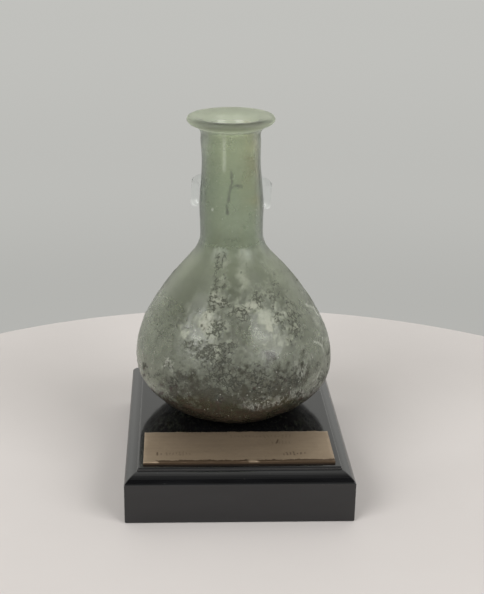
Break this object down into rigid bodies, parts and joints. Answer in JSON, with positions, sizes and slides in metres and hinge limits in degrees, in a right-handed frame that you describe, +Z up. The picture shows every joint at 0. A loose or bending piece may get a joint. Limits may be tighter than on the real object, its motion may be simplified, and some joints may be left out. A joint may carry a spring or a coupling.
{
  "type": "ancient glass perfume flask on a display plinth",
  "caption": "Hand-blown ancient glass perfume flask with pear-shaped body, tall neck and everted rim, standing on a moulded black lacquered plinth with a brass plate.",
  "frame": {"origin": "centre of the plinth's flat underside", "axes": "+Z up along the flask, +Y towards the back, so that the front with the plate faces -Y, +X to the right seen from the front"},
  "size_m": [0.08, 0.095, 0.1316],
  "materials": {
    "black_lacquer": "wood under deep black gloss lacquer",
    "dull_brass": "satin brass plate, dulled brown",
    "aged_glass": "green-grey blown glass, weathered, pitted and hazed with milky iridescence",
    "clear_acrylic": "polished clear acrylic"
  },
  "bodies": {
    "root": {"plinth": "black_lacquer", "plate": "dull_brass", "flask": "aged_glass", "neck_clip": "clear_acrylic"}
  },
  "joints": []
}
